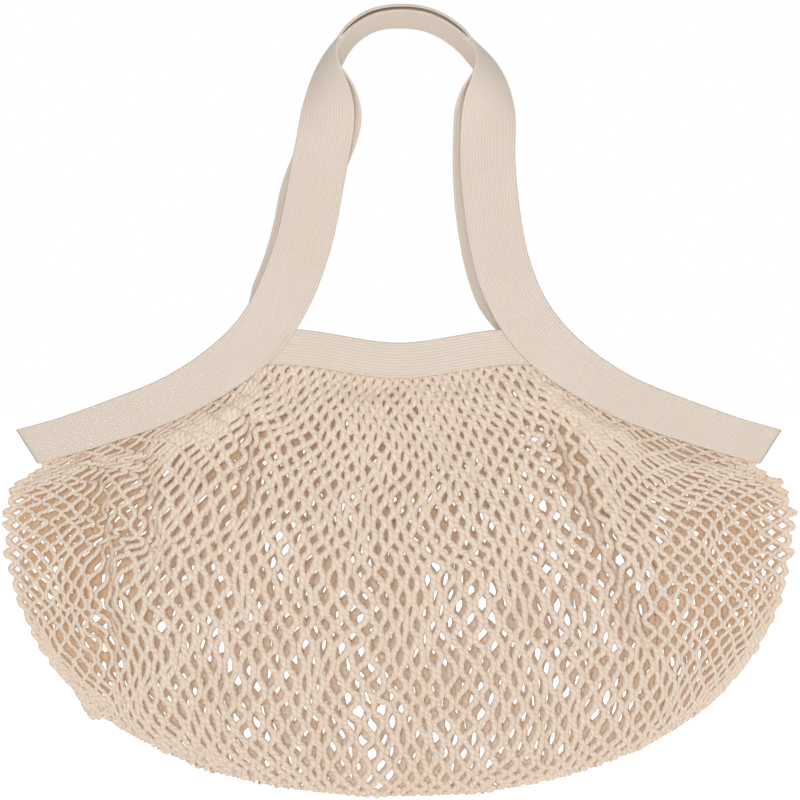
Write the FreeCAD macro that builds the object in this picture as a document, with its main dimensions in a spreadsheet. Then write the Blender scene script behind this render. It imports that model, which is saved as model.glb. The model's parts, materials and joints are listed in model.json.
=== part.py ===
"""Mesh produce bag of knitted cotton net, hemmed and carried by a flat rib-knit tape.

The frame is in millimetres: +X to the bag's right-hand side seen from the front, +Y to the back, +Z up.
The origin is the point under the arch of the two handles where the bag hangs.
"""
import FreeCAD, Part
import math
import os
from FreeCAD import Vector

doc = FreeCAD.newDocument("MeshProduceBag")


# ---------------------------------------------------------------- driving dimensions
SIZES = [
    ("net_half_width", 297.5, "half of the pouch's width at its widest level"),
    ("net_half_depth", 27, "half of the pouch's depth at its widest level"),
    ("net_widest_level", -381, "height of the widest level"),
    ("net_drop", 209.5, "from the widest level to the bottom"),
    ("net_roundness", 2.2, "power of the superellipse that rounds the bottom"),
    ("net_wall", 2.5, "thickness of the knitted net"),
    ("mouth_half_length", 293, "from the middle of the mouth to a side corner"),
    ("mouth_half_depth", 13.5, "half of the gap between the front and back tapes"),
    ("corner_level", -311, "height of the upper end of a side corner's fold"),
    ("corner_slant", 0.64, "sideways run of that fold for each millimetre down"),
    ("shell_margin", 40, "how far the tapes' wall is built past the fold line and the corners"),
    ("tape_thickness", 2, "thickness of the rib-knit tape"),
    ("tape_layer_gap", 0.2, "clearance between two layers of tape"),
    ("handle_width", 42, "width of the tape where it is a handle"),
    ("corner_width", 29, "width of the tape at a side corner"),
    ("mouth_band_width", 27, "width of the short tape between the handles' feet"),
    ("fold_level", -232, "height of the line that a handle folds over"),
    ("fold_gap", 1.5, "clearance across that line"),
    ("back_shift", -6, "how far the back handle lies to the left of the front one"),
    ("arch_angle", 86, "turn of the front handle's width at the arch, in degrees"),
    ("inner_arch_angle", 106, "the same for the back handle, which lies inside it"),
    ("arch_inset", 4.5, "how much further apart the two handles are over the arch than in their upper legs"),
    ("handle_lean", 3.6, "distance of each handle's upper legs from the middle plane"),
    ("stitch_pitch", 9, "spacing of the stitches that hold the net"),
    ("stitch_length", 5, "length of one of them"),
    ("stitch_width", 1.4, "width of one of them"),
    ("hem_depth", 3.4, "how far one of them goes through the cloth"),
    ("hem_margin", 30, "distance of the last of them from a side corner"),
    ("thread_stand", 0.3, "how far a thread stands out of the tape"),
    ("join_pitch", 4.5, "spacing of the stitches over a mouth band's end"),
    ("join_length", 3, "length of one of them"),
    ("join_margin", 3, "distance of that row from the handle tape's edge and the fold line"),
    ("join_run", 27, "how far below the fold line that row ends"),
    ("reach", 80, "depth of the cutters, more than half of the bag's depth"),
]

sheet = doc.addObject("Spreadsheet::Sheet", "Sizes")
for row, (alias, value, note) in enumerate(SIZES, start=1):
    sheet.set("A%d" % row, alias)
    sheet.set("B%d" % row, str(value))
    sheet.set("C%d" % row, note)
    sheet.setAlias("B%d" % row, alias)
doc.recompute()


def size(alias):
    """The value of one driving dimension."""
    return float(sheet.get(alias))


# ---------------------------------------------------------------- lines of the bag
# Middle line of the handle tape in the front view, (x, z, width factor), from the left side corner over the
# arch to the right side corner. The factor runs from 0, the corner's width, to 1, the handle's width.
LEFT_BAND = [(-304, -328.5, 0.0), (-256, -316, 0.03), (-212, -301.5, 0.18), (-170, -285, 0.32), (-135, -264, 0.55)]
LEFT_LEG = [(-105, -237, 0.85), (-85, -203, 1.0), (-71, -162, 1.0), (-61, -110, 1.0), (-54, -62, 1.0)]
ARCH = [(-52, -22, 1.0), (-40, -3, 1.0), (-22, 8.5, 1.0), (0, 12, 1.0), (22, 9.5, 1.0), (42, 0, 1.0),
        (57, -14, 1.0), (67, -32, 1.0)]
RIGHT_LEG = [(69, -60, 1.0), (67.5, -100, 1.0), (71, -145, 1.0), (83, -199, 1.0), (105, -237, 0.85)]
RIGHT_BAND = [(-x, z, factor) for x, z, factor in reversed(LEFT_BAND)]
TAPE_LINE = LEFT_BAND + LEFT_LEG + ARCH + RIGHT_LEG + RIGHT_BAND

# Middle line of a mouth band, whose ends lie under the handle tape.
MOUTH_LINE = [(-122, -248.5), (-76, -248), (0, -258), (76, -248), (122, -248.5)]

# Upper edge of the net, just below the tapes' lower edges, from the middle to past the right corner.
HALF_NET_TOP = [(0, -273), (43, -268.4), (82, -262.6), (101, -263.5), (111, -271.6), (151, -296.5),
                (194, -313.8), (236, -327.2), (279, -339), (330, -353)]
NET_TOP = [(-x, z) for x, z in reversed(HALF_NET_TOP[1:])] + HALF_NET_TOP


def spline(points):
    """Smooth curve through points."""
    curve = Part.BSplineCurve()
    curve.interpolate(points)
    return curve


def line_samples(points, count):
    """Evenly spaced positions and unit directions along the curve through (x, z) points."""
    curve = spline([Vector(x, 0, z) for x, z in points])
    length = curve.length()
    samples = []
    for step in range(count + 1):
        u = curve.parameterAtDistance(length * step / count, curve.FirstParameter)
        direction = curve.tangent(u)[0]
        samples.append((curve.value(u), direction.normalize()))
    return samples


def smooth_step(value, low, high):
    """0 below low, 1 above high, and an even S between them."""
    t = min(max((value - low) / (high - low), 0), 1)
    return t * t * (3 - 2 * t)


def mouth_y(x, half_depth):
    """Half depth of the mouth's ellipse at x."""
    return half_depth * math.sqrt(max(1 - (x / size("mouth_half_length")) ** 2, 0))


# ---------------------------------------------------------------- building blocks
def ellipse(name, level, half_width, half_depth):
    """Horizontal ellipse, all three sizes given as expressions."""
    shape = doc.addObject("Part::Ellipse", name)
    shape.setExpression("MajorRadius", half_width)
    shape.setExpression("MinorRadius", half_depth)
    shape.setExpression("Placement.Base.z", level)
    return shape


def loft(name, sections):
    """Smooth solid through sections."""
    solid = doc.addObject("Part::Loft", name)
    solid.Sections = sections
    solid.Solid = True
    solid.Ruled = False
    return solid


def cut(name, base, tool):
    """base without tool."""
    result = doc.addObject("Part::Cut", name)
    result.Base = base
    result.Tool = tool
    return result


def common(name, first, second):
    """The space that first and second share."""
    result = doc.addObject("Part::Common", name)
    result.Base = first
    result.Tool = second
    return result


def box(name, low, length, width, height):
    """Box whose low corner and three sides are expressions."""
    solid = doc.addObject("Part::Box", name)
    for axis, expression in zip("xyz", low):
        solid.setExpression("Placement.Base." + axis, expression)
    solid.setExpression("Length", length)
    solid.setExpression("Width", width)
    solid.setExpression("Height", height)
    return solid


def extrude(name, face, forward, backward):
    """face carried along Y, forward towards the back and backward towards the front."""
    solid = doc.addObject("Part::Extrusion", name)
    solid.Base = face
    solid.DirMode = "Custom"
    solid.Dir = Vector(0, 1, 0)
    solid.setExpression("LengthFwd", forward)
    solid.setExpression("LengthRev", backward)
    solid.Solid = True
    return solid


def feature(name, shape):
    """Object that holds a shape made from the sheet's sizes."""
    holder = doc.addObject("Part::Feature", name)
    holder.Shape = shape
    return holder


def outline_face(name, upper, lower):
    """Flat face in the front view between a smooth upper and a smooth lower edge."""
    top = spline(upper).toShape()
    bottom = spline(lower).toShape()
    ends = [Part.makeLine(upper[0], lower[0]), Part.makeLine(upper[-1], lower[-1])]
    wire = Part.Wire(Part.__sortEdges__([top, bottom] + ends))
    return feature(name, Part.Face(wire))


def elliptic_shell(name, inset):
    """Wall of tape thickness on the mouth's ellipse, set in by the expression inset.

    It is upright down to the side corners, and below them its ends draw in along the corners' slanted folds.
    """
    walls = []
    for side, extra in (("Outer", "0"), ("Inner", "Sizes.tape_thickness")):
        rings = []
        for number, (level, drawn_in) in enumerate((("Sizes.fold_level + Sizes.shell_margin", "0"),
                                                    ("Sizes.corner_level", "0"),
                                                    ("Sizes.corner_level - Sizes.shell_margin",
                                                     "Sizes.shell_margin * Sizes.corner_slant"))):
            rings.append(ellipse("%s%sRing%d" % (name, side, number), level,
                                 "Sizes.mouth_half_length - %s - (%s) - (%s)" % (drawn_in, inset, extra),
                                 "Sizes.mouth_half_depth - (%s) - (%s)" % (inset, extra)))
        wall = loft(name + side, rings)
        wall.Ruled = True
        walls.append(wall)
    return cut(name, walls[0], walls[1])


# ---------------------------------------------------------------- net
# Levels above the widest one, (height, half width, half depth), up to the hem.
UPPER_LEVELS = [(-250, 252, 12.5), (-290, 264, 16), (-335, 283, 22)]
LOWER_STEPS = [0.0, 0.3, 0.55, 0.75, 0.88, 0.95]
OUTER_END = 0.995
INNER_END = 0.97


def net_sections(name, wall, end_step):
    """Ellipses of the pouch from the hem to its bottom, set in by the expression wall."""
    sections = []
    for number, (level, half_width, half_depth) in enumerate(UPPER_LEVELS):
        sections.append(ellipse("%sUpper%d" % (name, number), str(level),
                                "%s - (%s)" % (half_width, wall), "%s - (%s)" % (half_depth, wall)))
    for number, step in enumerate(LOWER_STEPS + [end_step]):
        level = "Sizes.net_widest_level - %s * Sizes.net_drop" % step
        half_width = ("Sizes.net_half_width * pow(1 - pow(%s; Sizes.net_roundness); 1 / Sizes.net_roundness)"
                      % step)
        half_depth = "Sizes.net_half_depth * sqrt(1 - pow(%s; 2))" % step
        sections.append(ellipse("%sLower%d" % (name, number), level,
                                "%s - (%s)" % (half_width, wall), "%s - (%s)" % (half_depth, wall)))
    return sections


def build_net():
    """The knitted pouch as a front wall and a back wall that meet in the middle plane."""
    pouch = cut("Pouch", loft("PouchOuter", net_sections("Outer", "0", OUTER_END)),
                loft("PouchInner", net_sections("Inner", "Sizes.net_wall", INNER_END)))
    hem_line = [Vector(x, 0, z) for x, z in NET_TOP]
    above = [Vector(x, 0, 0) for x, z in NET_TOP]
    hem_zone = extrude("HemZone", outline_face("HemZoneFace", above, hem_line), "Sizes.reach", "Sizes.reach")
    body = cut("PouchBelowHem", pouch, hem_zone)
    span = "Sizes.net_half_width + Sizes.reach"
    low = "Sizes.net_widest_level - Sizes.net_drop - Sizes.reach"
    tall = "Sizes.net_drop + 4 * Sizes.reach"
    front = box("FrontHalf", ("-(%s)" % span, "-Sizes.reach", low), "2 * (%s)" % span, "Sizes.reach", tall)
    back = box("BackHalf", ("-(%s)" % span, "0", low), "2 * (%s)" % span, "Sizes.reach", tall)
    return {"net_front_wall": common("NetFrontWall", body, front),
            "net_back_wall": common("NetBackWall", body, back)}


# ---------------------------------------------------------------- tape bands round the mouth
def tape_width(factor):
    """Width of the tape between a corner, factor 0, and a handle, factor 1."""
    return size("corner_width") + factor * (size("handle_width") - size("corner_width"))


def strip_edges(points, widths, count):
    """Upper and lower edges of a strip of varying width along the curve through (x, z) points."""
    steps = len(widths) - 1
    upper, lower = [], []
    for number, (place, direction) in enumerate(line_samples(points, count)):
        position = steps * number / count
        index = min(int(position), steps - 1)
        width = widths[index] + (widths[index + 1] - widths[index]) * (position - index)
        normal = Vector(-direction.z, 0, direction.x)
        upper.append(place + normal * (width / 2))
        lower.append(place - normal * (width / 2))
    return upper, lower


def build_left_side_band(label, shell):
    """Tape from the front handle's foot round the left corner to the back handle's foot."""
    part = TAPE_LINE[:len(LEFT_BAND) + 2]
    upper, lower = strip_edges([(x, z) for x, z, factor in part], [tape_width(f) for x, z, f in part], 12)
    cutter = extrude(label + "Cutter", outline_face(label + "Outline", upper, lower), "Sizes.reach",
                     "Sizes.reach")
    below = box(label + "BelowFold", ("-2 * Sizes.net_half_width", "-Sizes.reach", "2 * Sizes.fold_level"),
                "4 * Sizes.net_half_width", "2 * Sizes.reach", "-Sizes.fold_level - Sizes.fold_gap / 2")
    return common(label, common(label + "Strip", shell, cutter), below)


def mirrored(label, source):
    """source seen in a mirror that stands in the middle of the bag."""
    image = doc.addObject("Part::Mirroring", label)
    image.Source = source
    image.Normal = Vector(1, 0, 0)
    return image


def build_mouth_band(side, label, shell):
    """Short tape between a handle's feet, one layer inside the handle tape."""
    upper, lower = strip_edges(MOUTH_LINE, [size("mouth_band_width")] * len(MOUTH_LINE), 12)
    face = outline_face(label + "Outline", upper, lower)
    forward, backward = ("0", "Sizes.reach") if side < 0 else ("Sizes.reach", "0")
    return common(label, shell, extrude(label + "Cutter", face, forward, backward))


# ---------------------------------------------------------------- handles
HANDLE_SECTIONS = 60
LEAN_TOP = -70
TWIST_FOOT = -90
TWIST_TOP = -5
SHIFT_FOOT = (-238, -205)
SHIFT_TOP = (-130, -100)


def handle_frames():
    """Places along the front handle's middle line, with their directions and shares of the twist."""
    used = TAPE_LINE[len(LEFT_BAND) - 1:1 - len(RIGHT_BAND)]
    foot_y = mouth_y(100, size("mouth_half_depth")) - size("tape_thickness") / 2
    frames = []
    for place, tangent in line_samples([(x, z) for x, z, factor in used], HANDLE_SECTIONS):
        rise = smooth_step(place.z, size("fold_level") + 5, LEAN_TOP)
        twist = smooth_step(place.z, TWIST_FOOT, TWIST_TOP)
        place.y = -foot_y + (foot_y - size("handle_lean")) * rise
        frames.append((place, tangent, twist))
    return frames


def build_handle(label, behind):
    """Handle strap: flat on to the front in its legs, turned on edge over its arch.

    The strap behind follows the face of the one in front at a distance, so over the arch it lies inside.
    """
    half_thickness = size("tape_thickness") / 2
    sections = []
    for place, tangent, twist in handle_frames():
        inward = Vector(tangent.z, 0, -tangent.x)
        angle = math.radians(size("arch_angle") * twist)
        if behind:
            outward = Vector(0, -math.cos(angle), 0) - inward * math.sin(angle)
            apart = max(-2 * place.y, 0) + size("arch_inset") * twist
            shift = smooth_step(place.z, *SHIFT_FOOT) * (1 - smooth_step(place.z, *SHIFT_TOP))
            place = place - outward * apart + Vector(size("back_shift") * shift, 0, 0)
            angle = math.radians(size("inner_arch_angle") * twist)
        width_way = inward * math.cos(angle) - Vector(0, math.sin(angle), 0)
        through = tangent.cross(width_way)
        half = tape_width(0.85 + 0.15 * smooth_step(place.z, size("fold_level"), -200)) / 2
        corners = [place + width_way * (a * half) + through * (b * half_thickness)
                   for a, b in ((1, 1), (1, -1), (-1, -1), (-1, 1), (1, 1))]
        sections.append(Part.makePolygon(corners))
    strap = feature(label + "Whole", Part.makeLoft(sections, True, True))
    above = box(label + "AboveFold", ("-2 * Sizes.net_half_width", "-Sizes.reach",
                                      "Sizes.fold_level + Sizes.fold_gap / 2"),
                "4 * Sizes.net_half_width", "2 * Sizes.reach", "-2 * Sizes.fold_level")
    return common(label, strap, above)


# ---------------------------------------------------------------- stitching
def stitch(place, direction, y, length, depth):
    """One stitch: a small bar along direction, its middle at y, going depth through the cloth."""
    width = size("stitch_width")
    bar = Part.makeBox(length, depth, width, Vector(-length / 2, -depth / 2, -width / 2))
    bar.Placement = FreeCAD.Placement(Vector(place.x, y, place.z),
                                      FreeCAD.Rotation(Vector(1, 0, 0), direction))
    return bar


def build_hem_stitches(label, side):
    """Upright stitches along the hem that catch the net's top row."""
    limit = size("mouth_half_length") - size("hem_margin")
    hem = [(x, z) for x, z in NET_TOP if abs(x) < size("net_half_width")]
    count = int(spline([Vector(x, 0, z) for x, z in hem]).length() / size("stitch_pitch"))
    stitches = []
    for place, direction in line_samples(hem, count):
        if abs(place.x) > limit:
            continue
        normal = Vector(-direction.z, 0, direction.x)
        y = side * mouth_y(place.x, size("mouth_half_depth") - size("tape_thickness"))
        stitches.append(stitch(place, normal, y, size("stitch_length"), size("hem_depth")))
    return feature(label, Part.makeCompound(stitches))


def build_join_stitches(label, side, end):
    """Row of stitches along the handle tape's inner edge, over the mouth band's end."""
    foot = [(x, z, tape_width(factor)) for x, z, factor in TAPE_LINE if end * x > 0 and -270 < z < -195]
    edge = strip_edges([(x, z) for x, z, width in foot],
                       [width - 2 * size("join_margin") for x, z, width in foot], 80)[1]
    depth = 2 * size("tape_thickness") + size("tape_layer_gap") + 2 * size("thread_stand")
    stitches = []
    travelled = size("join_pitch")
    for first, second in zip(edge, edge[1:]):
        travelled += first.distanceToPoint(second)
        below_fold = size("fold_level") - second.z
        if travelled < size("join_pitch") or not size("join_margin") < below_fold < size("join_run"):
            continue
        travelled = 0
        y = side * (mouth_y(second.x, size("mouth_half_depth")) + size("thread_stand") - depth / 2)
        stitches.append(stitch(second, (second - first).normalize(), y, size("join_length"), depth))
    return feature(label, Part.makeCompound(stitches))


# ---------------------------------------------------------------- the bag
parts = build_net()
outer_shell = elliptic_shell("TapeShell", "0")
inner_shell = elliptic_shell("MouthShell", "Sizes.tape_thickness + Sizes.tape_layer_gap")
parts["left_side_band"] = build_left_side_band("LeftSideBand", outer_shell)
parts["right_side_band"] = mirrored("RightSideBand", parts["left_side_band"])
parts["front_mouth_band"] = build_mouth_band(-1, "FrontMouthBand", inner_shell)
parts["back_mouth_band"] = build_mouth_band(1, "BackMouthBand", inner_shell)
parts["front_handle_strap"] = build_handle("FrontHandle", False)
parts["back_handle_strap"] = build_handle("BackHandle", True)
for wall_name, wall_side in (("front", -1), ("back", 1)):
    parts[wall_name + "_hem_stitches"] = build_hem_stitches(wall_name.title() + "HemStitches", wall_side)
    for end_name, end_side in (("left", -1), ("right", 1)):
        node = "%s_%s_join_stitches" % (wall_name, end_name)
        parts[node] = build_join_stitches(node.title().replace("_", ""), wall_side, end_side)

doc.recompute()
for item in doc.Objects:
    if "Invalid" in item.State or "Error" in item.State:
        raise RuntimeError("%s did not compute: %s" % (item.Name, item.State))

os.makedirs("parts", exist_ok=True)
for node, item in parts.items():
    item.Label = node
    if item.Shape.isNull() or not item.Shape.isValid() or not item.Shape.Solids:
        raise RuntimeError("%s has no valid solid" % node)
    item.Shape.exportStep("parts/%s.step" % node)
    extent = item.Shape.optimalBoundingBox()
    print("%-26s solids %3d  volume %8.1f  x %6.1f..%6.1f  y %5.1f..%5.1f  z %6.1f..%6.1f" % (
        node, len(item.Shape.Solids), item.Shape.Volume, extent.XMin, extent.XMax,
        extent.YMin, extent.YMax, extent.ZMin, extent.ZMax))
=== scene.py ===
"""Mesh produce bag: the looks of its knitted net, its rib-knit tape and its sewing.

Lengths are in millimetres until a mesh is made, and in metres in the meshes and the materials.
+X is to the bag's right seen from the front, +Y to the back and +Z up; the bag hangs from the origin.
"""
import json
import bpy
import numpy as np
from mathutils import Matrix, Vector


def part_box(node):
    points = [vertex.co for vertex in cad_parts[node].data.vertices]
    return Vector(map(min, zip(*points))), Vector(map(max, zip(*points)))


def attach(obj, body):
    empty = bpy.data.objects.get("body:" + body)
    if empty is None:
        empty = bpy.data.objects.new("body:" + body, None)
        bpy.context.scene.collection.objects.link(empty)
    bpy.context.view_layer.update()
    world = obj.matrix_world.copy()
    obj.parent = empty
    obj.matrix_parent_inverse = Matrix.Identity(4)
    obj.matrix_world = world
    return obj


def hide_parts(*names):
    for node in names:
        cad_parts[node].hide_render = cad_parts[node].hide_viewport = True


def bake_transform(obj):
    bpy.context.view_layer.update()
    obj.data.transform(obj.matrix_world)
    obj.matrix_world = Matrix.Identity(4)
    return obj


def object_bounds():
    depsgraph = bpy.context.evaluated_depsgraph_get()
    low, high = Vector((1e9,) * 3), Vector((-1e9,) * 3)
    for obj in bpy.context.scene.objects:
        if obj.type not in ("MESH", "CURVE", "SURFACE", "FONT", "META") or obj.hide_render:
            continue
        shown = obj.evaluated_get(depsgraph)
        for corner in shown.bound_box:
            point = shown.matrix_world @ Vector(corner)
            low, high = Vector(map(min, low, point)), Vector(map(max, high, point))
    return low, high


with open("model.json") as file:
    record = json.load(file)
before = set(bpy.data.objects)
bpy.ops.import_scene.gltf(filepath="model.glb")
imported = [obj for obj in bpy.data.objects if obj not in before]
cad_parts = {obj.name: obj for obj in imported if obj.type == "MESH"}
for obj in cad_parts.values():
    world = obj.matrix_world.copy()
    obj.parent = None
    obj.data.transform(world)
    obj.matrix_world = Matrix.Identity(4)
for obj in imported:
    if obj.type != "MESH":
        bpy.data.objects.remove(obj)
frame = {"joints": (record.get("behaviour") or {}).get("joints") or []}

cad_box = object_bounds()

MM = 0.001
FRONT, BACK = -1, 1
RIB_PITCH = 7 / 3
CORD_LAY = 9.6
CURVE_SAMPLES = 60


# ---------------------------------------------------------------- small tools
def corner_mm(node):
    """Lowest and highest corners of a CAD node in millimetres."""
    low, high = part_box(node)
    return np.array(low) / MM, np.array(high) / MM


def smooth_step(value, low, high):
    """0 below low, 1 above high, and 3t^2 - 2t^3 between them."""
    t = np.clip((value - low) / (high - low), 0, 1)
    return t * t * (3 - 2 * t)


def window(value, rise, fall):
    """A smooth step from 0 up to 1 over the span rise, and back down to 0 over the span fall."""
    return smooth_step(value, *rise) * (1 - smooth_step(value, *fall))


def unit(vectors):
    """The vectors divided by their lengths."""
    return vectors / np.maximum(np.linalg.norm(vectors, axis=-1, keepdims=True), 1e-9)


def stack(x, y, z):
    """Three arrays, or numbers, as one array of points."""
    return np.stack(np.broadcast_arrays(x, y, z), axis=-1).astype(float)


def path_length(points):
    """How far along a row of points each of them is."""
    return np.concatenate([[0], np.cumsum(np.linalg.norm(np.diff(points, axis=0), axis=1))])


def values_at(at, travelled, values):
    """Rows of values, known at the lengths travelled, read at other lengths."""
    return np.stack([np.interp(at, travelled, axis) for axis in values.T], axis=1)


def curve_through(points, count):
    """Evenly spaced places on the natural cubic spline through points, and how far along each of them is.

    Between two points the curve is a p + b q + ((a^3 - a) P + (b^3 - b) Q) gap^2 / 6, where a + b = 1 and the
    second derivatives P and Q make the slope continuous and vanish at both ends.
    """
    points = np.array(points, float)
    last = len(points) - 1
    knots = path_length(points)
    gaps = np.diff(knots)
    inner = np.arange(1, last)
    system = np.eye(last + 1)
    system[inner, inner - 1] = gaps[:-1]
    system[inner, inner] = 2 * (gaps[:-1] + gaps[1:])
    system[inner, inner + 1] = gaps[1:]
    right_side = np.zeros_like(points)
    right_side[1:-1] = 6 * np.diff(np.diff(points, axis=0) / gaps[:, None], axis=0)
    second = np.linalg.solve(system, right_side)
    at = np.linspace(0, knots[-1], CURVE_SAMPLES * last)
    k = np.clip(np.searchsorted(knots, at, side="right") - 1, 0, last - 1)
    a = ((knots[k + 1] - at) / gaps[k])[:, None]
    b = 1 - a
    places = a * points[k] + b * points[k + 1]
    places += ((a ** 3 - a) * second[k] + (b ** 3 - b) * second[k + 1]) * (gaps[k] ** 2 / 6)[:, None]
    travelled = path_length(places)
    even = np.linspace(0, travelled[-1], count)
    return values_at(even, travelled, places), even


def mesh_piece(name, points, faces, uvs, material):
    """Smooth mesh of points in millimetres.

    faces is a list of index arrays, each with one row for each face, and uvs holds a pair for each corner of
    them: how far along the yarn or tape it is in metres, and its place around or across.
    """
    mesh = bpy.data.meshes.new(name)
    mesh.vertices.add(len(points))
    mesh.vertices.foreach_set("co", (points * MM).astype(np.float32).ravel())
    corners = np.concatenate([f.ravel() for f in faces])
    sizes = np.concatenate([np.full(len(f), f.shape[1]) for f in faces])
    mesh.loops.add(len(corners))
    mesh.loops.foreach_set("vertex_index", corners.astype(np.int32))
    mesh.polygons.add(len(sizes))
    starts = np.concatenate([[0], np.cumsum(sizes)[:-1]])
    mesh.polygons.foreach_set("loop_start", starts.astype(np.int32))
    layer = mesh.uv_layers.new(name="Yarn")
    pairs = np.concatenate([u.reshape(-1, 2) for u in uvs])
    layer.data.foreach_set("uv", pairs.astype(np.float32).ravel())
    mesh.update(calc_edges=True)
    mesh.shade_smooth()
    mesh.materials.append(material)
    piece = bpy.data.objects.new(name, mesh)
    bpy.context.scene.collection.objects.link(piece)
    return piece


def tube_piece(name, paths, radii, outward, sides, material, ply=0.0, lay=1.0):
    """Closed tubes along paths, an array of (tube, step, xyz).

    A ring is path + r (cos a E + sin a T x E), where T is the path's direction and E the part of outward that
    is square to it. Two plies make r = radius (1 + ply cos(2 a - 2 pi length / lay)).
    """
    tubes, steps, _ = paths.shape
    direction = unit(np.gradient(paths, axis=1))
    side_way = unit(outward - np.sum(outward * direction, axis=-1, keepdims=True) * direction)
    third = np.cross(direction, side_way)
    lengths = np.linalg.norm(np.diff(paths, axis=1), axis=-1)
    travelled = np.concatenate([np.zeros((tubes, 1)), np.cumsum(lengths, axis=1)], axis=1)
    turn = np.linspace(0, 2 * np.pi, sides, endpoint=False)
    swell = 1 + ply * np.cos(2 * turn - 2 * np.pi * travelled[..., None] / lay)
    radius = np.broadcast_to(radii, (tubes, steps))[..., None] * swell
    spoke = np.cos(turn)[:, None] * side_way[:, :, None] + np.sin(turn)[:, None] * third[:, :, None]
    rings = paths[:, :, None] + radius[..., None] * spoke
    index = np.arange(tubes * steps * sides).reshape(tubes, steps, sides)
    after = np.roll(index, -1, axis=2)
    quads = np.stack([index[:, :-1], after[:, :-1], after[:, 1:], index[:, 1:]], axis=-1)
    caps = np.concatenate([index[:, 0, ::-1], index[:, -1]])
    around = np.arange(sides) / sides
    near = np.broadcast_to(travelled[:, :-1, None] * MM, (tubes, steps - 1, sides))
    far = np.broadcast_to(travelled[:, 1:, None] * MM, (tubes, steps - 1, sides))
    left = np.broadcast_to(around, near.shape)
    right = left + 1 / sides
    uv = np.stack([np.stack([near, left], -1), np.stack([near, right], -1), np.stack([far, right], -1),
                   np.stack([far, left], -1)], axis=-2)
    return mesh_piece(name, rings.reshape(-1, 3), [quads.reshape(-1, 4), caps],
                      [uv, np.zeros((caps.size, 2))], material)


def wave_noise(seed, waves, shape_a, shape_b, shortest, longest):
    """Smooth noise of about unit size: a sum of sine waves that cross the plane (a, b) in random directions.

    Each wave's length is drawn between shortest and longest.
    """
    random = np.random.default_rng(seed)
    total = 0
    for _ in range(waves):
        heading, start = random.uniform(0, 2 * np.pi, 2)
        number = 2 * np.pi / random.uniform(shortest, longest)
        onward = shape_a * np.cos(heading) + shape_b * np.sin(heading)
        total = total + np.sin(number * onward + start)
    return total * np.sqrt(2 / waves)


# ---------------------------------------------------------------- materials
def linear(hex_colour):
    """sRGB hex colour as linear RGBA."""
    channels = np.array([int(hex_colour[i:i + 2], 16) for i in (1, 3, 5)]) / 255
    light = np.where(channels <= 0.04045, channels / 12.92, ((channels + 0.055) / 1.055) ** 2.4)
    return (*light, 1.0)


def add(tree, kind, inputs=None, **settings):
    """A node with its settings, each input given as a value or as the socket that feeds it."""
    made = tree.nodes.new("ShaderNode" + kind)
    for key, value in settings.items():
        setattr(made, key, value)
    for key, value in (inputs or {}).items():
        if isinstance(value, bpy.types.NodeSocket):
            tree.links.new(value, made.inputs[key])
        else:
            made.inputs[key].default_value = value
    return made


def new_material(name):
    """An empty material and its node tree."""
    made = bpy.data.materials.new(name)
    made.use_nodes = True
    made.node_tree.nodes.clear()
    return made, made.node_tree


def finish_material(tree, colour, height, strength, distance, roughness, sheen, glow=None):
    """Cotton surface: a rough dielectric, with a little sheen from its loose fibres.

    glow is the strength of an emission in the cloth's own colour: painted light, which makes the cloth glow
    though it is no lamp.
    """
    bump = add(tree, "Bump", {"Height": height, "Strength": strength, "Distance": distance})
    inputs = {"Base Color": colour, "Roughness": roughness, "IOR": 1.5, "Specular IOR Level": 0.2,
              "Sheen Weight": sheen, "Sheen Roughness": 0.5, "Normal": bump.outputs["Normal"]}
    if glow is not None:
        inputs |= {"Emission Color": colour, "Emission Strength": glow}
    surface = add(tree, "BsdfPrincipled", inputs)
    add(tree, "OutputMaterial", {"Surface": surface.outputs["BSDF"]})


def ply_wave(tree, plies, pitch):
    """Yarn coordinates, and a sine wave between -1 and 1 that winds round the yarn with its plies.

    One stripe passes in every pitch millimetres along the yarn, and plies stripes around it.
    """
    uv = add(tree, "UVMap", uv_map="Yarn")
    axes = add(tree, "SeparateXYZ", {"Vector": uv.outputs["UV"]})
    along = add(tree, "Math", {0: axes.outputs["X"], 1: 1 / (pitch * MM)}, operation="MULTIPLY")
    slanted = add(tree, "Math", {0: axes.outputs["Y"], 1: plies, 2: along.outputs[0]},
                  operation="MULTIPLY_ADD")
    angle = add(tree, "Math", {0: slanted.outputs[0], 1: 2 * np.pi}, operation="MULTIPLY")
    return axes, add(tree, "Math", {0: angle.outputs[0]}, operation="SINE")


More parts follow.
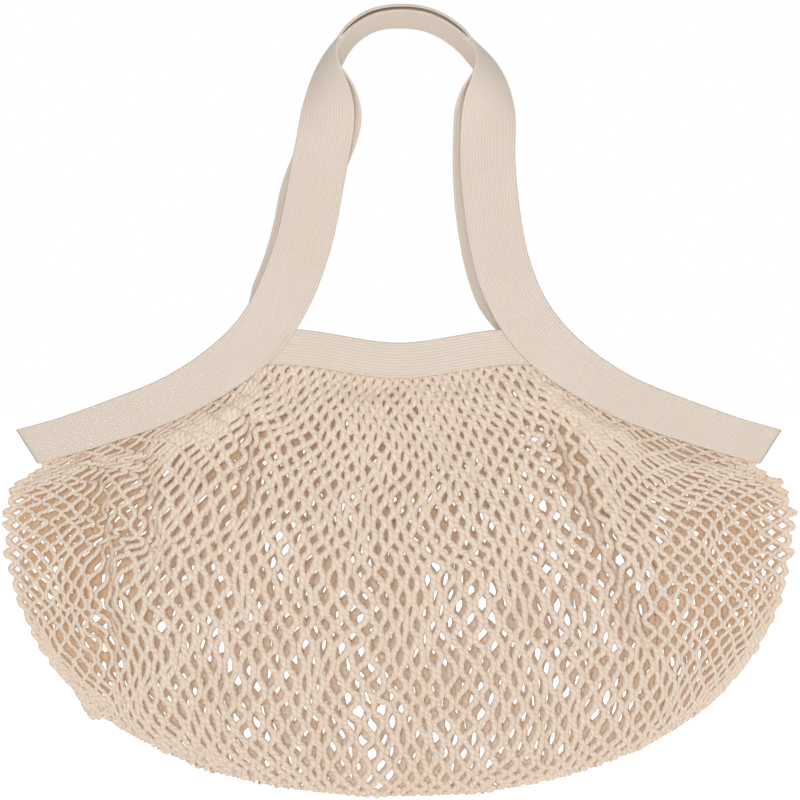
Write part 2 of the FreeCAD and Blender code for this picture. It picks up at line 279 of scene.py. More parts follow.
def rib_knit_material():
    """Rib-knit cotton tape: unbleached cotton knitted in narrow lengthwise columns of small V stitches.

    The eye gets fine lengthwise lines, broken into dots by the stitches, on a matt warm cream. The lines and
    dots are partly bump and partly painted shade: the colour darkens in the grooves between the ribs and the
    stitches. One column is one rib of the mesh, RIB_PITCH wide, and its stitches are 3 mm long.
    """
    made, tree = new_material("RibKnitCotton")
    uv = add(tree, "UVMap", uv_map="Yarn")
    axes = add(tree, "SeparateXYZ", {"Vector": uv.outputs["UV"]})
    wale = add(tree, "Math", {0: axes.outputs["Y"], 1: 1 / (RIB_PITCH * MM)}, operation="MULTIPLY")
    across = add(tree, "Math", {0: wale.outputs[0], 1: 0.0, 2: 1.0}, operation="WRAP")
    centred = add(tree, "Math", {0: across.outputs[0], 1: 0.5}, operation="SUBTRACT")
    from_middle = add(tree, "Math", {0: centred.outputs[0]}, operation="ABSOLUTE")
    course = add(tree, "Math", {0: axes.outputs["X"], 1: 1 / (3.0 * MM)}, operation="MULTIPLY")
    slanted = add(tree, "Math", {0: from_middle.outputs[0], 1: 1.3, 2: course.outputs[0]},
                  operation="MULTIPLY_ADD")
    angle = add(tree, "Math", {0: slanted.outputs[0], 1: 2 * np.pi}, operation="MULTIPLY")
    stitch = add(tree, "Math", {0: angle.outputs[0]}, operation="SINE")
    ridge = add(tree, "MapRange", {"Value": from_middle.outputs[0], "From Min": 0.5, "From Max": 0.22},
                interpolation_type="SMOOTHSTEP")
    loops = add(tree, "MapRange", {"Value": stitch.outputs[0], "From Min": -1.0, "From Max": 0.4,
                                   "To Min": 0.62, "To Max": 1.0})
    relief = add(tree, "Math", {0: ridge.outputs[0], 1: loops.outputs[0]}, operation="MULTIPLY")
    place = add(tree, "TexCoord")
    fibre = add(tree, "TexNoise", {"Vector": place.outputs["Object"], "Scale": 900.0, "Detail": 3.0})
    patches = add(tree, "TexNoise", {"Vector": place.outputs["Object"], "Scale": 22.0, "Detail": 2.0})
    height = add(tree, "Math", {0: fibre.outputs["Fac"], 1: 0.35, 2: relief.outputs[0]},
                 operation="MULTIPLY_ADD")
    # Painted shade: the yarn's colour goes to the darker #D6C8BB where the relief is low, in the grooves
    # between ribs and stitches.
    yarn = add(tree, "Mix", {"Factor": relief.outputs[0], "A": linear("#D6C8BB"), "B": linear("#E4DAD0")},
               data_type="RGBA")
    for_patches = add(tree, "MapRange", {"Value": patches.outputs["Fac"], "From Min": 0.3, "From Max": 0.7,
                                         "To Min": 0.0, "To Max": 0.22})
    toned = add(tree, "Mix", {"Factor": for_patches.outputs[0], "A": yarn.outputs["Result"],
                              "B": linear("#D8C9BA")}, data_type="RGBA")
    finish_material(tree, toned.outputs["Result"], height.outputs[0], 0.3, 0.4 * MM, 0.9, 0.25)
    return made


def net_cord_material():
    """Knitted cotton cord: unbleached two-ply cord, softly twisted, with loose fibres on it.

    The eye gets a matt fuzzy cream with faint slanting ply lines, partly bump and partly painted shade in the
    grooves between the plies. The side that faces into the pouch is seen through the open cells and carries
    painted shade: a darker tan, strongest high up and at the pouch's ends, where shade falls inside the
    pouch. That side also glows a little in its own colour, painted light that stands in for light inside the
    pouch.
    """
    made, tree = new_material("TwistedCottonCord")
    axes, ply = ply_wave(tree, 2.0, CORD_LAY / 2)
    groove = add(tree, "MapRange", {"Value": ply.outputs[0], "From Min": -1.0, "From Max": -0.2},
                 interpolation_type="SMOOTHSTEP")
    place = add(tree, "TexCoord")
    fibre = add(tree, "TexNoise", {"Vector": place.outputs["Object"], "Scale": 700.0, "Detail": 3.0})
    patches = add(tree, "TexNoise", {"Vector": place.outputs["Object"], "Scale": 30.0, "Detail": 2.0})
    height = add(tree, "Math", {0: fibre.outputs["Fac"], 1: 0.5, 2: groove.outputs[0]},
                 operation="MULTIPLY_ADD")
    # Painted shade: the cord's colour goes to the darker #E4D2C0 in the grooves between its plies.
    cord = add(tree, "Mix", {"Factor": groove.outputs[0], "A": linear("#E4D2C0"), "B": linear("#EFE2D6")},
               data_type="RGBA")
    for_patches = add(tree, "MapRange", {"Value": patches.outputs["Fac"], "From Min": 0.3, "From Max": 0.7,
                                         "To Min": 0.0, "To Max": 0.3})
    patchy = add(tree, "Mix", {"Factor": for_patches.outputs[0], "A": cord.outputs["Result"],
                               "B": linear("#E6D2BC")}, data_type="RGBA")
    flecks = add(tree, "MapRange", {"Value": fibre.outputs["Fac"], "From Min": 0.42, "From Max": 0.68,
                                    "To Min": 0.0, "To Max": 0.3})
    flecked = add(tree, "Mix", {"Factor": flecks.outputs[0], "A": patchy.outputs["Result"],
                                "B": linear("#D3B99D")}, data_type="RGBA")
    # Painted shade: the side of each cord that faces into the pouch is mixed toward a darker tan (#D9B896),
    # more so high up and at the pouch's ends, where shade falls inside the pouch.
    centred = add(tree, "Math", {0: axes.outputs["Y"], 1: 0.5}, operation="SUBTRACT")
    from_inside = add(tree, "Math", {0: centred.outputs[0]}, operation="ABSOLUTE")
    inner = add(tree, "MapRange", {"Value": from_inside.outputs[0], "From Min": 0.2,
                                    "From Max": 0.08})
    position = add(tree, "SeparateXYZ", {"Vector": place.outputs["Object"]})
    sideways = add(tree, "Math", {0: position.outputs["X"]}, operation="ABSOLUTE")
    high = add(tree, "MapRange", {"Value": position.outputs["Z"], "From Min": -0.46, "From Max": -0.33,
                                  "To Min": 0.15, "To Max": 0.7})
    wide = add(tree, "MapRange", {"Value": sideways.outputs[0], "From Min": 0.14, "From Max": 0.25,
                                  "To Min": 0.15, "To Max": 0.9})
    shade_by_place = add(tree, "Math", {0: high.outputs[0], 1: wide.outputs[0]}, operation="MAXIMUM")
    painted_shade_amount = add(tree, "Math", {0: inner.outputs[0], 1: shade_by_place.outputs[0]}, operation="MULTIPLY")
    toned = add(tree, "Mix", {"Factor": painted_shade_amount.outputs[0], "A": flecked.outputs["Result"],
                              "B": linear("#D9B896")}, data_type="RGBA")
    # Painted light: the inward side of each cord glows in its own colour, an emission that stands in for light
    # inside the pouch.
    painted_glow_strength = add(tree, "Math", {0: inner.outputs[0], 1: 0.13}, operation="MULTIPLY")
    finish_material(tree, toned.outputs["Result"], height.outputs[0], 0.5, 0.4 * MM, 0.92, 0.3,
                    painted_glow_strength.outputs[0])
    return made


def thread_material():
    """Cotton sewing thread: three fine plies, a shade lighter and smoother than the tape it goes through.

    The eye gets small pale dashes with a soft shine.
    """
    made, tree = new_material("CottonSewingThread")
    _, ply = ply_wave(tree, 3.0, 1.5)
    groove = add(tree, "MapRange", {"Value": ply.outputs[0], "From Min": -1.0, "From Max": 0.0})
    # Painted shade: the thread's colour goes to the darker #D2BDA6 in the grooves between its plies.
    thread = add(tree, "Mix", {"Factor": groove.outputs[0], "A": linear("#D2BDA6"),
                               "B": linear("#EEE2D4")}, data_type="RGBA")
    finish_material(tree, thread.outputs["Result"], groove.outputs[0], 0.4, 0.15 * MM, 0.7, 0.15)
    return made


RIB_KNIT = rib_knit_material()
NET_CORD = net_cord_material()
THREAD = thread_material()


# ---------------------------------------------------------------- tape
# Middle line of the handle tape seen from the front, (x, z, width factor), from the left side corner over the
# arch to the right side corner. The factor runs from 0, the corner's width, to 1, the handle's width.
LEFT_BAND = [(-304, -328.5, 0.0), (-256, -316, 0.03), (-212, -301.5, 0.18), (-170, -285, 0.32),
             (-135, -264, 0.55)]
LEFT_LEG = [(-105, -237, 0.85), (-85, -203, 1.0), (-71, -162, 1.0), (-61, -110, 1.0), (-54, -62, 1.0)]
ARCH = [(-52, -22, 1.0), (-40, -3, 1.0), (-22, 8.5, 1.0), (0, 12, 1.0), (22, 9.5, 1.0), (42, 0, 1.0),
        (57, -14, 1.0), (67, -32, 1.0)]
RIGHT_LEG = [(69, -60, 1.0), (67.5, -100, 1.0), (71, -145, 1.0), (83, -199, 1.0), (105, -237, 0.85)]
RIGHT_BAND = [(-x, z, factor) for x, z, factor in reversed(LEFT_BAND)]
TAPE_LINE = LEFT_BAND + LEFT_LEG + ARCH + RIGHT_LEG + RIGHT_BAND
MOUTH_LINE = [(-122, -248.5), (-76, -248), (0, -258), (76, -248), (122, -248.5)]

CORNER_WIDTH = 29
HANDLE_WIDTH = 42
MOUTH_WIDTH = 27
MOUTH_RIBS = 12
TAPE_THICKNESS = 2.0
MOUTH_HALF_LENGTH = -corner_mm("left_side_band")[0][0]
MOUTH_HALF_DEPTH = 13.5
CORNER_LEVEL = -311
CORNER_SLANT = 0.64
LAYER_STEP = 2.2
FOLD_LEVEL = frame["joints"][0]["pos_m"][2] / MM
FOOT_Y = 11.68
LEAN_Y = 3.6
RIBS = 18
RIB_SAMPLES = 4
TAPE_STEPS = 560
END_REACH = 90
END_PACKING = 0.012
# How the handles turn on edge and part from each other, and the heights between which they do it.
FRONT_TURN, FRONT_TURN_LEVELS = np.radians(84), (-90, -5)
BACK_TURN, BACK_TURN_LEVELS = np.radians(98), (-90, -18)
ARCH_INSET, INSET_LEVELS = 1.6, (-30, 5)
BACK_SHIFT, SHIFT_RISE, SHIFT_FALL = -6, (-238, -205), (-140, -70)
SHOULDER_SHIFT, SHOULDER_RISE, SHOULDER_FALL = 4.5, (-135, -72), (-52, -18)
LEAN_TOP = -70
HANDLE_LEVELS = (-252, -222)


def ribbon_profile(ribs):
    """Section of the tape as a closed loop of (share of half width, share of half thickness).

    Each face is a row of ribs, of height 0.9 - 0.1 cos(pi ribs (share + 1)), and each edge is rounded.
    """
    share = np.linspace(-1, 1, ribs * RIB_SAMPLES + 1)
    face = 0.9 - 0.1 * np.cos(np.pi * ribs * (share + 1))
    face[[0, -1]] = 0.55
    edge = np.array([[1.012, 0.0]])
    top = np.stack([share * 0.99, face], axis=1)
    bottom = np.stack([share[::-1] * 0.99, -face], axis=1)
    return np.concatenate([top, edge, bottom, -edge])


def ribbon_piece(name, middle, normal, along, profile_offsets, across, flip, material):
    """Closed strip from its mid surface: each point is middle + offset x normal, with both ends capped.

    flip turns the faces outwards on a strip whose normal and direction make the other hand.
    """
    points = middle + profile_offsets[..., None] * normal
    steps, ring = points.shape[:2]
    index = np.arange(steps * ring).reshape(steps, ring)
    after = np.roll(index, -1, axis=1)
    uv = stack(along, across, 0)[..., :2] * MM
    uv_after = np.roll(uv, -1, axis=1)
    quads = np.stack([index[:-1], after[:-1], after[1:], index[1:]], axis=-1)
    quads = quads.reshape(-1, 4)
    uvs = np.stack([uv[:-1], uv_after[:-1], uv_after[1:], uv[1:]], axis=-2)
    uvs = uvs.reshape(-1, 4, 2)
    caps = np.stack([index[0, ::-1], index[-1]])
    cap_uvs = np.stack([uv[0, ::-1], uv[-1]])
    if flip:
        quads, uvs = quads[:, ::-1], uvs[:, ::-1]
        caps, cap_uvs = caps[:, ::-1], cap_uvs[:, ::-1]
    return mesh_piece(name, points.reshape(-1, 3), [quads, caps], [uvs, cap_uvs], material)


def corner_reach(z, inset):
    """Half length of the tapes' wall at height z: it draws in along the side corners' slanted folds."""
    return MOUTH_HALF_LENGTH - inset - CORNER_SLANT * np.maximum(CORNER_LEVEL - z, 0)


def wall_y(x, z, inset):
    """Half depth of the tapes' wall, an ellipse b sqrt(1 - x^2 / a^2) seen from above."""
    reach = corner_reach(z, inset)
    return (MOUTH_HALF_DEPTH - inset) * np.sqrt(np.maximum(1 - (x / reach) ** 2, 0))


def wall_normal(x, y, z, inset):
    """Outward direction of that wall."""
    return unit(stack(x / corner_reach(z, inset) ** 2, y / (MOUTH_HALF_DEPTH - inset) ** 2, 0))


def tape_surface(side, share):
    """Mid surface, outward normal and length along the front or back tape, at each share of its half width.

    It lies on the tapes' wall from a side corner to a handle's foot. The handle's middle line rises from
    there, leans in, and its width turns on edge over the arch, where the back handle lies inside the front
    one, along its face. Both ends are cut where they meet the side corner's slanted fold.
    """
    drawn = np.array(TAPE_LINE)
    line, travelled = curve_through(drawn[:, :2], 4000)
    knots = path_length(drawn[:, :2])
    factor = np.interp(travelled / travelled[-1], knots / knots[-1], drawn[:, 2])
    half_width = (CORNER_WIDTH + factor * (HANDLE_WIDTH - CORNER_WIDTH)) / 2
    heading = unit(np.gradient(line, axis=0))

    def follow(values, s):
        return np.interp(s, travelled, values)

    inset = TAPE_THICKNESS / 2
    ends = []
    for mirror, near in ((1, travelled < END_REACH), (-1, travelled > travelled[-1] - END_REACH)):
        x = line[near, 0, None] - share * half_width[near, None] * heading[near, 1, None]
        z = line[near, 1, None] + share * half_width[near, None] * heading[near, 0, None]
        outside = mirror * x + corner_reach(z, inset)
        order = slice(None) if mirror == 1 else slice(None, None, -1)
        ends.append(np.array([np.interp(0, edge[order], travelled[near][order]) for edge in outside.T]))
    even = np.linspace(0, 1, TAPE_STEPS)[:, None]
    packed = even - END_PACKING * np.sin(2 * np.pi * even)
    start, end = ends
    middle = len(share) // 4
    s = start[middle] + (end[middle] - start[middle]) * packed
    s = s + (start - start[middle]) * (1 - smooth_step(packed, 0, 0.12))
    s = s + (end - end[middle]) * smooth_step(packed, 0.88, 1)

    cx, cz = follow(line[:, 0], s), follow(line[:, 1], s)
    tx, tz = follow(heading[:, 0], s), follow(heading[:, 1], s)
    half = follow(half_width, s)
    inward = stack(tz, 0, -tx)
    depth_way = np.array([0.0, 1.0, 0.0])
    front_y = -FOOT_Y + (FOOT_Y - LEAN_Y) * smooth_step(cz, FOLD_LEVEL + 5, LEAN_TOP)
    angle = (FRONT_TURN * smooth_step(cz, *FRONT_TURN_LEVELS))[..., None]
    outward = -depth_way * np.cos(angle) - inward * np.sin(angle)
    place = stack(cx, front_y, cz)
    if side == BACK:
        apart = np.maximum(-2 * front_y, 0) + ARCH_INSET * smooth_step(cz, *INSET_LEVELS)
        place = place - outward * apart[..., None]
        place[..., 0] += BACK_SHIFT * window(cz, SHIFT_RISE, SHIFT_FALL)
        place = place + inward * (SHOULDER_SHIFT * window(cz, SHOULDER_RISE, SHOULDER_FALL))[..., None]
        angle = (BACK_TURN * smooth_step(cz, *BACK_TURN_LEVELS))[..., None]
        outward = depth_way * np.cos(angle) + inward * np.sin(angle)
    width_way = inward * np.cos(angle) - depth_way * np.sin(angle)
    handle = place - width_way * (share * half)[..., None]

    x, z = cx - share * half * tz, cz + share * half * tx
    y = side * wall_y(x, z, inset)
    band = stack(x, y, z)
    on_handle = smooth_step(cz, *HANDLE_LEVELS)[..., None]
    surface = band + (handle - band) * on_handle
    facing = wall_normal(x, y, z, inset)
    normal = unit(facing + (outward - facing) * on_handle)
    return surface, normal, s


def build_tape(name, side, nodes):
    """One tape from corner to corner, over its handle. Its feet curve from the bag's wall up into the handle.
    """
    profile = ribbon_profile(RIBS)
    surface, normal, s = tape_surface(side, profile[:, 0])
    ripple = wave_noise(11 + side, 6, s, profile[:, 0] * 20, 40, 150)
    end_free = window(s, (s.min() + 10, s.min() + 60), (s.max() - 60, s.max() - 10))
    offsets = TAPE_THICKNESS / 2 * profile[:, 1] + 0.25 * ripple * end_free
    across = RIBS * RIB_PITCH / 2 * profile[:, 0]
    tape = ribbon_piece(name, surface, normal, s, offsets, across, side == FRONT, RIB_KNIT)
    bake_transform(tape)
    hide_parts(*nodes)


def build_mouth_band(name, side, node):
    """Short tape between a handle's feet, one layer inside the handle tape."""
    profile = ribbon_profile(MOUTH_RIBS)
    line, travelled = curve_through(MOUTH_LINE, 110)
    heading = unit(np.gradient(line, axis=0))
    half = MOUTH_WIDTH / 2
    share = profile[:, 0]
    x = line[:, 0, None] - share * half * heading[:, 1, None]
    z = line[:, 1, None] + share * half * heading[:, 0, None]
    inset = LAYER_STEP + TAPE_THICKNESS / 2
    y = side * wall_y(x, z, inset)
    ripple = wave_noise(21 + side, 5, travelled[:, None], share * 13, 30, 110)
    offsets = TAPE_THICKNESS / 2 * profile[:, 1] + 0.12 * ripple
    across = MOUTH_RIBS * RIB_PITCH / 2 * share
    band = ribbon_piece(name, stack(x, y, z), wall_normal(x, y, z, inset), travelled[:, None], offsets,
                        across, side == FRONT, RIB_KNIT)
    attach(band, "bag")
    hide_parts(node)


# ---------------------------------------------------------------- net
NET_HALF_WIDTH = 297.5
WIDEST_LEVEL = -381
NET_DROP = 209.5
ROUNDNESS = 2.2
NET_HALF_DEPTH = 27
DEPTH_LEVELS = [(-250, 12.5), (-290, 16), (-335, 22), (WIDEST_LEVEL, NET_HALF_DEPTH)]
SIDE_TOP = [(-268, -333), (-271, -340), (-287, -352), (-294.5, -365), (-297.5, -381)]
HALF_HEM = [(0, -273), (43, -268.4), (82, -262.6), (101, -263.5), (111, -271.6), (151, -296.5),
            (194, -313.8), (236, -327.2), (268, -334.5)]
SIDE_RUN = 195
HEM_OVERLAP = 4
CORDS = 92
ROWS = 38
ROW_STEPS = 7
CORD_SIDES = 8
CORD_PLY = 0.05
# The back wall's cords are a little thicker and less slack, so that they show behind the front wall's cells.
CORD_RADIUS = {FRONT: 2.65, BACK: 3.2}
SIDE_SLACK = {FRONT: 0.4, BACK: 0.15}


def half_outline():
    """Left half of the pouch's outline, from under the tape's corner to the middle of the bottom.

    Below its widest level it is the superellipse |x / a|^n + |z / b|^n = 1.
    """
    side = curve_through(SIDE_TOP, 80)[0]
    turn = np.linspace(0, np.pi / 2, 500)[1:]
    bottom = np.stack([-NET_HALF_WIDTH * np.abs(np.cos(turn)) ** (2 / ROUNDNESS),
                       WIDEST_LEVEL - NET_DROP * np.sin(turn) ** (2 / ROUNDNESS)], axis=1)
    bottom[-1, 0] = 0
    outline = np.concatenate([side, bottom])
    return outline, path_length(outline)


OUTLINE, OUTLINE_LENGTH = half_outline()


def pouch_half_width(z):
    """Half width of the pouch at height z."""
    return np.interp(-z, -OUTLINE[:, 1], -OUTLINE[:, 0])


def pouch_half_depth(z):
    """Half depth of the pouch at height z: a smooth curve down to its widest level, an ellipse below it."""
    levels = curve_through(DEPTH_LEVELS, 60)[0]
    upper = np.interp(-z, -levels[:, 0], levels[:, 1])
    lower = NET_HALF_DEPTH * np.sqrt(np.clip(1 - ((WIDEST_LEVEL - z) / NET_DROP) ** 2, 0, 1))
    return np.where(z > WIDEST_LEVEL, upper, lower)


def hem_height(x):
    """Height of the tapes' lower edge at x."""
    line = curve_through(HALF_HEM, 300)[0]
    return np.interp(np.abs(x), line[:, 0], line[:, 1])


def row_shares():
    """How far down the pouch each step of a column is, from 0 to 1.

    The rows are close under the hem, open out lower down and crowd again where the net turns at the bottom.
    """
    at = np.linspace(0, 1, ROWS * ROW_STEPS + 1)
    pitch = (1 + 0.85 * smooth_step(at, 0.05, 0.75)) * (1 - 0.66 * smooth_step(at, 0.85, 0.98))
    total = np.concatenate([[0], np.cumsum((pitch[1:] + pitch[:-1]) / 2)])
    return total / total[-1]


def cord_radii(side, u, v):
    """Cord radius: a little less near the hem and low down, and much less in the loose net at the sides."""
    along = 0.93 + 0.07 * smooth_step(v, 0.05, 0.35) - 0.05 * smooth_step(v, 0.6, 0.85)
    return CORD_RADIUS[side] * along * (1 - SIDE_SLACK[side] * smooth_step(np.abs(u), 0.5, 0.85))


def pouch_net(u, v):
    """Place in the front view of column share u, -1 to 1, and row share v, 0 to 1.

    Both ends of a row run down the pouch's sides, its top follows the hem and its bottom the outline. The
    columns are crowded in the middle of the hem and fan out below it.
    """
    half_length = OUTLINE_LENGTH[-1]
    end_x = -np.interp(v * SIDE_RUN, OUTLINE_LENGTH, OUTLINE[:, 0])
    end_z = np.interp(v * SIDE_RUN, OUTLINE_LENGTH, OUTLINE[:, 1])
    away = np.abs(u)
    bottom_at = half_length - (half_length - SIDE_RUN) * (1.15 * away - 0.15 * away ** 3)
    bottom_x = -np.sign(u) * np.interp(bottom_at, OUTLINE_LENGTH, OUTLINE[:, 0])
    bottom_z = np.interp(bottom_at, OUTLINE_LENGTH, OUTLINE[:, 1])
    top_share = 0.58 * u + 0.42 * u ** 3
    top_z = hem_height(top_share * -OUTLINE[0, 0]) + HEM_OVERLAP
    low_share = bottom_x / -np.interp(SIDE_RUN, OUTLINE_LENGTH, OUTLINE[:, 0])
    spread = 1 - (1 - v) ** 1.75
    x = end_x * (top_share + (low_share - top_share) * spread)
    z = top_z + (bottom_z - top_z) * v
    edge_top = hem_height(OUTLINE[0, 0]) + HEM_OVERLAP
    edge_bottom = np.interp(SIDE_RUN, OUTLINE_LENGTH, OUTLINE[:, 1])
    edge_z = edge_top + (edge_bottom - edge_top) * v
    return x, z + (end_z - edge_z) * away ** 2.5


# Creases that run down the net, (x, z) at the top and the bottom, then half width, depth and pull.
FRONT_CREASES = [((118, -305), (188, -478), 8, 15, 9), ((-113, -300), (-112, -385), 7, 12, 7),
                 ((-226, -325), (-214, -500), 11, 12, 8), ((-192, -320), (-178, -430), 8, 9, 5)]
BACK_CREASES = [((-120, -300), (-160, -450), 9, 10, 6), ((60, -290), (80, -400), 8, 8, 5),
                ((215, -330), (200, -480), 10, 11, 7)]


def crease_shift(x, z, creases):
    """Sideways and inward shifts that draw the net together along each crease, as exp(-distance^2)."""
    sideways, inward = np.zeros_like(x), np.zeros_like(x)
    for (x0, z0), (x1, z1), half_width, depth, pull in creases:
        down = (z0 - z) / (z0 - z1)
        strength = window(down, (-0.1, 0.15), (0.75, 1.1))
        from_line = (x - (x0 + (x1 - x0) * down)) / half_width
        bell = np.exp(-from_line ** 2) * strength
        inward += depth * bell
        sideways -= pull * from_line * bell
    return sideways, inward


def net_paths(side, seed, creases):
    """Paths of all cords of one wall, (cord, step, xyz), and the outward direction along them.

    Cord i runs down column i and swings to its left and right neighbours in turn, a link in every row, as
    sin(pi / 2 cos(pi row)), so that between two links it leaves a rounded open cell. Slow and quick waves,
    small random moves of each link and the creases make the net uneven.
    """
    u = np.linspace(-1, 1, CORDS)[:, None]
    way = np.where(np.arange(CORDS)[:, None] % 2 == 0, 1, -1)
    v = row_shares()[None, :]
    row = np.linspace(0, ROWS, ROWS * ROW_STEPS + 1)[None, :]
    x, z = pouch_net(np.broadcast_to(u, (CORDS, v.size)).copy().T, v.T)
    x, z = x.T, z.T
    free = window(row, (0, 3), (ROWS - 1.5, ROWS))
    inside = free * (1 - smooth_step(np.abs(u), 0.9, 1))
    loose = 1 + 0.5 * smooth_step(-x, 130, 230)
    long_x, short_x = wave_noise(seed, 9, x, z, 45, 120), wave_noise(seed + 1, 9, x, z, 18, 40)
    long_z, short_z = wave_noise(seed + 2, 9, x, z, 45, 120), wave_noise(seed + 3, 9, x, z, 18, 40)
    x = x + inside * loose * (2.0 * long_x + 0.6 * short_x)
    z = z + inside * loose * (2.0 * long_z + 0.6 * short_z)
    sideways, inward = crease_shift(x, z, creases)
    x = x + sideways * inside

    random = np.random.default_rng(seed + 4)
    nodes = random.normal(0, 1, (2, CORDS // 2 + 1, ROWS + 1))
    pair = (np.arange(CORDS)[:, None] + (np.arange(ROWS + 1)[None, :] % 2)) // 2
    whole = np.arange(ROWS + 1)
    jitter = np.array([[np.interp(row[0], whole, nodes[axis, pair[i], whole]) for i in range(CORDS)]
                       for axis in range(2)])
    x = x + 0.5 * jitter[0] * free
    z = z + 0.5 * jitter[1] * free

    spacing = np.gradient(x, axis=0), np.gradient(z, axis=0)
    gap = np.hypot(*spacing)
    radius = cord_radii(side, u, v)
    swing = np.maximum(gap / 2 - 0.68 * radius, 0.2 * gap)
    turn = way * np.sin(np.pi / 2 * np.cos(np.pi * row))
    side_loops = (np.abs(u) == 1) & (turn * np.sign(u) > 0)
    turn = np.where(side_loops, turn * (1.3 + 0.8 * np.sin(2.1 * row)) * free, turn)
    x = x + spacing[0] / gap * swing * turn
    z = z + spacing[1] / gap * swing * turn

    half_width, half_depth = pouch_half_width(z), pouch_half_depth(z)
    round_share = np.sqrt(np.clip(1 - (x / half_width) ** 2, 0, 1))
    pouch_y = np.maximum(half_depth * round_share - CORD_RADIUS[side], 0)
    hem_y = np.maximum(wall_y(x, z, 0) - TAPE_THICKNESS - CORD_RADIUS[side] - 0.3, 0.6)
    under_mouth = np.minimum(hem_y, wall_y(x, z, 2 * LAYER_STEP) - CORD_RADIUS[side])
    hem_y = np.where(np.abs(x) < 100, under_mouth, hem_y)
    y = hem_y + (pouch_y - hem_y) * smooth_step(row, 1.0, 5.0)
    ripple = 1.4 * wave_noise(seed + 5, 8, x, z, 50, 140) + 0.6 * wave_noise(seed + 6, 8, x, z, 15, 35)
    over = 0.45 * radius * np.cos(np.pi * row) * way
    y = y + (ripple - inward) * inside * smooth_step(y, 0, 12) + over * smooth_step(y, 2, 8)
    paths = stack(x, side * np.maximum(y, 0.2), z)
    below = np.minimum(z - WIDEST_LEVEL, 0) / NET_DROP ** 2
    outward = unit(stack(x / half_width ** 2, side * (y + 0.3) / NET_HALF_DEPTH ** 2, below))
    return paths, outward


def build_net_wall(name, side, seed, creases, node):
    """One wall of the net, its left half and its right half."""
    paths, outward = net_paths(side, seed, creases)
    radii = cord_radii(side, np.linspace(-1, 1, CORDS)[:, None], row_shares())
    middle = CORDS // 2
    for half, chosen in (("left", slice(0, middle)), ("right", slice(middle, CORDS))):
        net = tube_piece("%s_%s" % (name, half), paths[chosen], radii[chosen], outward[chosen], CORD_SIDES,
                         NET_CORD, ply=CORD_PLY, lay=CORD_LAY)
        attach(net, "bag")
        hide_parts(node)


# ---------------------------------------------------------------- sewing
STITCH_LENGTH = 2.6
STITCH_LIFT = 0.5
STITCH_SINK = 0.4
STITCH_STEPS = 6
THREAD_RADIUS = 0.42
THREAD_SIDES = 5
HEM_STITCH_PITCH = 4.5
JOIN_STITCH_PITCH = 3.6
JOIN_LEVELS = (-260, -236)
JOIN_SHARE = -0.87


def stitch_tubes(name, middles, headings, nodes):
    """Short threads, each a low arch over the cloth.

    A thread is middle + length t heading + (lift (1 - 4 t^2) - sink) outward, with t from -1/2 to 1/2.
    """
    t = np.linspace(-0.5, 0.5, STITCH_STEPS)
    outward = unit(stack(middles[:, 0] / MOUTH_HALF_LENGTH ** 2, middles[:, 1] / MOUTH_HALF_DEPTH ** 2, 0))
    paths = middles[:, None] + headings[:, None] * (STITCH_LENGTH * t)[:, None]
    paths = paths + outward[:, None] * (STITCH_LIFT * (1 - (2 * t) ** 2) - STITCH_SINK)[:, None]
    threads = tube_piece(name, paths, THREAD_RADIUS, np.repeat(outward[:, None], STITCH_STEPS, axis=1),
                         THREAD_SIDES, THREAD)
    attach(threads, "bag")
    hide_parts(*nodes)


def build_hem_seam(side_name, side):
    """Upright stitches along the hem, just inside the tapes' lower edge, that catch the net's top row."""
    half = curve_through(HALF_HEM, 400)[0]
    line = np.concatenate([half[::-1] * (-1, 1), half[1:]])
    travelled = path_length(line)
    at = np.arange(12, travelled[-1] - 12, HEM_STITCH_PITCH)
    x, z = values_at(at, travelled, line).T
    heading = unit(values_at(at, travelled, np.gradient(line, axis=0)))
    z = z + 2.4
    inset = np.where(np.abs(x) < 96, LAYER_STEP, 0)
    y = side * wall_y(x, z, inset)
    upright = stack(-heading[:, 1], 0, heading[:, 0])
    stitch_tubes(side_name + "_hem_seam", stack(x, y, z), upright, [side_name + "_hem_stitches"])


def build_join_seams(side_name, side):
    """Rows of stitches along the handle tape's inner edge, over both ends of the mouth band."""
    surface, normal, _ = tape_surface(side, np.full(4, JOIN_SHARE))
    edge, facing = surface[:, 0], normal[:, 0]
    low, high = JOIN_LEVELS
    for end_name, end_sign in (("left", -1), ("right", 1)):
        wanted = (edge[:, 2] < high) & (edge[:, 2] > low) & (edge[:, 0] * end_sign > 0)
        path = edge[wanted]
        travelled = path_length(path)
        at = np.arange(1.5, travelled[-1] - 1.5, JOIN_STITCH_PITCH)
        middles = values_at(at, travelled, path + facing[wanted])
        headings = unit(values_at(at, travelled, np.gradient(path, axis=0)))
        stitch_tubes("%s_%s_join_seam" % (side_name, end_name), middles, headings,
                     ["%s_%s_join_stitches" % (side_name, end_name)])


# ---------------------------------------------------------------- the bag
build_tape("front_tape", FRONT, ["front_handle_strap", "left_side_band", "right_side_band"])
build_tape("back_tape", BACK, ["back_handle_strap", "left_side_band", "right_side_band"])
build_mouth_band("front_mouth_tape", FRONT, "front_mouth_band")
build_mouth_band("back_mouth_tape", BACK, "back_mouth_band")
build_net_wall("front_net", FRONT, 100, FRONT_CREASES, "net_front_wall")
build_net_wall("back_net", BACK, 200, BACK_CREASES, "net_back_wall")
for seam_side, seam_sign in (("front", FRONT), ("back", BACK)):
    build_hem_seam(seam_side, seam_sign)
    build_join_seams(seam_side, seam_sign)


# ---------------------------------------------------------------- stage, light and camera
FLOOR_HALF_SPAN = 40.0
FLOOR_DROP = 0.012
FRAME_WIDTH = 0.612
# Name, place from the bag's middle in metres, watts and side length of each lamp.
LAMPS = [("key", (-0.1, -2.1, 0.08), 15.5, 0.4), ("fill", (1.8, -1.7, 0.4), 4, 1.6),
         ("rear", (0.6, 2.2, 1.2), 12, 1.6)]


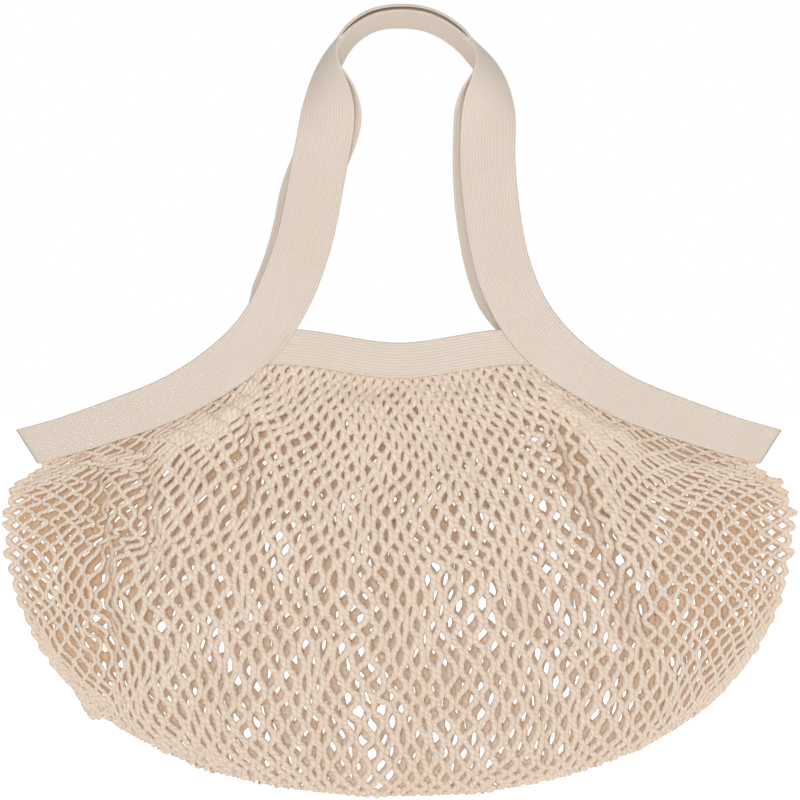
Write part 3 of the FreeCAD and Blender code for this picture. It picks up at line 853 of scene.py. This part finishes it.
def build_stage(low):
    """Wide floor just below the bag, in matt white paint.

    It glows faintly, and more so straight to the camera, so that it reads as plain white right to its edge.
    """
    made, tree = new_material("MattWhitePaint")
    paint = add(tree, "BsdfPrincipled", {"Base Color": linear("#F7F6F4"), "Roughness": 0.95,
                                         "Specular IOR Level": 0.1, "Emission Color": linear("#FFFFFF"),
                                         "Emission Strength": 0.22})
    glow = add(tree, "Emission", {"Color": linear("#FFFFFF"), "Strength": 0.5})
    lit = add(tree, "AddShader", {0: paint.outputs[0], 1: glow.outputs[0]})
    path = add(tree, "LightPath")
    both = add(tree, "MixShader", {0: path.outputs["Is Camera Ray"], 1: paint.outputs[0], 2: lit.outputs[0]})
    add(tree, "OutputMaterial", {"Surface": both.outputs[0]})
    span = FLOOR_HALF_SPAN
    mesh = bpy.data.meshes.new("floor")
    mesh.from_pydata([(-span, -span, low), (span, -span, low), (span, span, low), (-span, span, low)], [],
                     [(0, 1, 2, 3)])
    mesh.materials.append(made)
    floor = bpy.data.objects.new("floor", mesh)
    bpy.context.scene.collection.objects.link(floor)


def build_light(centre):
    """White surroundings, a key beside the camera's line of sight, a weak fill at the right and a rear lamp."""
    world = bpy.data.worlds.new("Studio")
    bpy.context.scene.world = world
    world.use_nodes = True
    tree = world.node_tree
    tree.nodes.clear()
    path = add(tree, "LightPath")
    around = add(tree, "Background", {"Color": linear("#FFFAF4"), "Strength": 0.46})
    seen = add(tree, "Background", {"Color": linear("#FFFFFF"), "Strength": 1.0})
    both = add(tree, "MixShader", {0: path.outputs["Is Camera Ray"], 1: around.outputs[0],
                                   2: seen.outputs[0]})
    add(tree, "OutputWorld", {"Surface": both.outputs[0]})
    for name, offset, power, side in LAMPS:
        lamp = bpy.data.lights.new(name, "AREA")
        lamp.energy, lamp.size = power, side
        holder = bpy.data.objects.new(name, lamp)
        holder.location = centre + Vector(offset)
        holder.rotation_euler = (-Vector(offset)).to_track_quat("-Z", "Y").to_euler()
        bpy.context.scene.collection.objects.link(holder)


def build_camera(centre):
    """Level view straight at the front, with the whole bag in a square frame FRAME_WIDTH metres wide."""
    camera = bpy.data.cameras.new("camera")
    camera.lens, camera.sensor_width = 100, 36
    distance = FRAME_WIDTH * camera.lens / camera.sensor_width
    holder = bpy.data.objects.new("camera", camera)
    holder.location = centre + Vector((0.0008, -distance, -0.0004))
    holder.rotation_euler = (np.pi / 2, 0, 0)
    bpy.context.scene.collection.objects.link(holder)
    bpy.context.scene.camera = holder


low_corner, high_corner = cad_box
bag_centre = Vector((0, 0, (low_corner.z + high_corner.z) / 2))
build_stage(low_corner.z - FLOOR_DROP)
build_light(bag_centre)
build_camera(bag_centre)
bpy.context.scene.view_settings.view_transform = "Standard"
